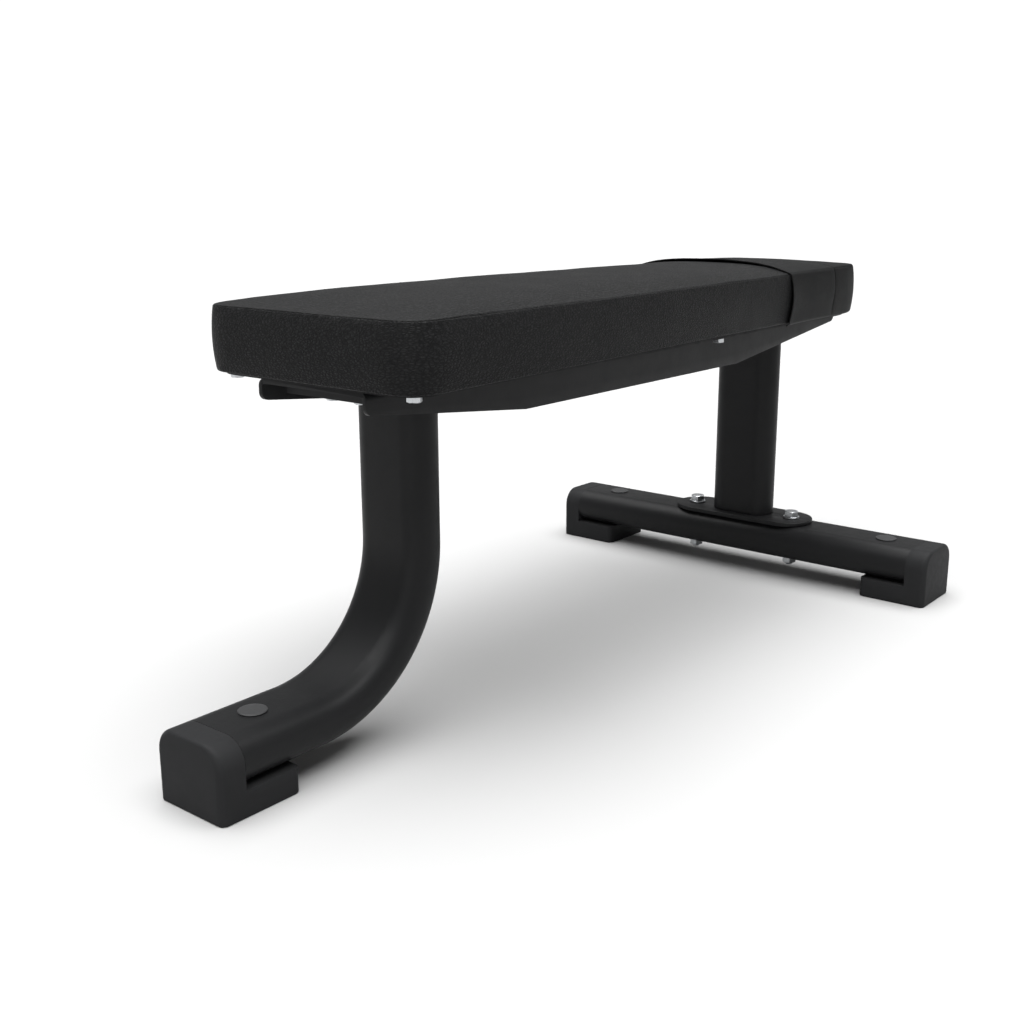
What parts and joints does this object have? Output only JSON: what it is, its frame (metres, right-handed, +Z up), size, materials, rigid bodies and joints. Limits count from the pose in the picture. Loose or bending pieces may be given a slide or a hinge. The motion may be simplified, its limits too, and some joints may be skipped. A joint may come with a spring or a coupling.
{
  "type": "flat weight bench",
  "caption": "Flat weight bench: tapered black padded top with a slip cover at the head end, on a steel channel, a curved front leg and a straight rear leg over a cross tube with foot caps.",
  "frame": {"origin": "on the floor, below the middle of the whole bench's box", "axes": "+X along the bench from the front foot to the head end of the pad, +Y to the left, +Z up"},
  "size_m": [1.1704, 0.616, 0.4643],
  "materials": {
    "powder_coated_steel": "satin black powder coat with a faint orange-peel texture",
    "cap_plastic": "moulded dark grey plastic, slightly lighter than the frame",
    "plug_plastic": "moulded mid grey plastic",
    "zinc_plated_steel": "bright zinc plating",
    "vinyl": "black grained vinyl upholstery",
    "slip_cover_vinyl": "black vinyl, finer grain, sewn",
    "foam": "dense upholstery foam",
    "plywood": "birch plywood",
    "backing_panel": "black board, matt"
  },
  "bodies": {
    "root": {"base_bolt_left": "zinc_plated_steel", "base_bolt_right": "zinc_plated_steel", "base_nut_left": "zinc_plated_steel", "base_nut_right": "zinc_plated_steel", "base_washer_low_left": "zinc_plated_steel", "base_washer_low_right": "zinc_plated_steel", "base_washer_top_left": "zinc_plated_steel", "base_washer_top_right": "zinc_plated_steel", "cap_screw_front": "zinc_plated_steel", "cap_screw_rear_left": "zinc_plated_steel", "cap_screw_rear_right": "zinc_plated_steel", "channel_doubler_front": "powder_coated_steel", "channel_doubler_rear": "powder_coated_steel", "cross_tube": "powder_coated_steel", "crush_sleeve_left": "zinc_plated_steel", "crush_sleeve_right": "zinc_plated_steel", "foot_cap_front": "cap_plastic", "foot_cap_rear_left": "cap_plastic", "foot_cap_rear_right": "cap_plastic", "front_leg": "powder_coated_steel", "head_slip_cover": "slip_cover_vinyl", "hole_plug_front": "plug_plastic", "hole_plug_rear_left": "plug_plastic", "hole_plug_rear_right": "plug_plastic", "pad_backing_board": "backing_panel", "pad_bolt_channel_front_left": "zinc_plated_steel", "pad_bolt_channel_front_right": "zinc_plated_steel", "pad_bolt_channel_rear_left": "zinc_plated_steel", "pad_bolt_channel_rear_right": "zinc_plated_steel", "pad_bolt_edge_front_left": "zinc_plated_steel", "pad_bolt_edge_front_right": "zinc_plated_steel", "pad_bolt_edge_rear_left": "zinc_plated_steel", "pad_bolt_edge_rear_right": "zinc_plated_steel", "pad_cover": "vinyl", "pad_foam": "foam", "pad_plywood": "plywood", "pad_washer_channel_front_left": "zinc_plated_steel", "pad_washer_channel_front_right": "zinc_plated_steel", "pad_washer_channel_rear_left": "zinc_plated_steel", "pad_washer_channel_rear_right": "zinc_plated_steel", "rear_leg": "powder_coated_steel", "rear_leg_plate": "powder_coated_steel", "tee_nut_channel_front_left": "zinc_plated_steel", "tee_nut_channel_front_right": "zinc_plated_steel", "tee_nut_channel_rear_left": "zinc_plated_steel", "tee_nut_channel_rear_right": "zinc_plated_steel", "tee_nut_edge_front_left": "zinc_plated_steel", "tee_nut_edge_front_right": "zinc_plated_steel", "tee_nut_edge_rear_left": "zinc_plated_steel", "tee_nut_edge_rear_right": "zinc_plated_steel", "top_channel": "powder_coated_steel"}
  },
  "joints": []
}
